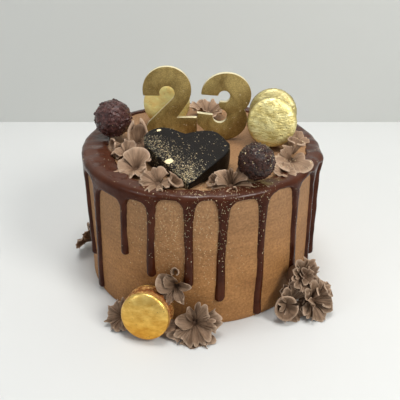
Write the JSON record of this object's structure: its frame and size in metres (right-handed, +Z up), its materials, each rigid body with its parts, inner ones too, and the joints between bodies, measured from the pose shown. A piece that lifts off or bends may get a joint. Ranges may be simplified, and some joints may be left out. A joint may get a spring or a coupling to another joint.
{
  "type": "celebration cake",
  "caption": "Tall round frosted cake with a ganache drip edge, piped cream flowers, gilded macarons, chocolate heart, crisp balls and standing numerals.",
  "frame": {"origin": "middle of the cake's flat base", "axes": "+Z up from the base through the cake, +X to the right and -Y to the front, where the numerals face"},
  "size_m": [0.1801, 0.184, 0.1422],
  "materials": {
    "frosting": "smooth scraped cocoa buttercream, matte with a faint sheen",
    "ganache": "set dark chocolate ganache, glossy",
    "piped_cream": "piped cocoa buttercream, matte",
    "crisp_chocolate": "chocolate over chopped nuts, rough with glossy speckles",
    "heart_chocolate": "moulded dark chocolate, satin, dusted with gold",
    "gold_plate": "gold-dusted flat plate, brushed, half gloss",
    "gold_shell": "gilded macaron shell, satin gold leaf with fine creases",
    "macaron_filling": "soft ganache filling, matte"
  },
  "bodies": {
    "root": {"base_flower_1": "piped_cream", "base_flower_2": "piped_cream", "base_flower_3": "piped_cream", "base_flower_4": "piped_cream", "base_flower_5": "piped_cream", "base_flower_6": "piped_cream", "base_flower_7": "piped_cream", "cake_body": "frosting", "chocolate_heart": "heart_chocolate", "crisp_ball_left": "crisp_chocolate", "crisp_ball_right": "crisp_chocolate", "ganache_drip": "ganache", "macaron_back_left_filling": "macaron_filling", "macaron_back_left_shell_back": "gold_shell", "macaron_back_left_shell_front": "gold_shell", "macaron_base_filling": "macaron_filling", "macaron_base_shell_back": "gold_shell", "macaron_base_shell_front": "gold_shell", "macaron_right_back_filling": "macaron_filling", "macaron_right_back_shell_back": "gold_shell", "macaron_right_back_shell_front": "gold_shell", "macaron_right_front_filling": "macaron_filling", "macaron_right_front_shell_back": "gold_shell", "macaron_right_front_shell_front": "gold_shell", "numeral_three": "gold_plate", "numeral_two": "gold_plate", "top_flower_1": "piped_cream", "top_flower_10": "piped_cream", "top_flower_11": "piped_cream", "top_flower_2": "piped_cream", "top_flower_3": "piped_cream", "top_flower_4": "piped_cream", "top_flower_5": "piped_cream", "top_flower_6": "piped_cream", "top_flower_7": "piped_cream", "top_flower_8": "piped_cream", "top_flower_9": "piped_cream"}
  },
  "joints": []
}
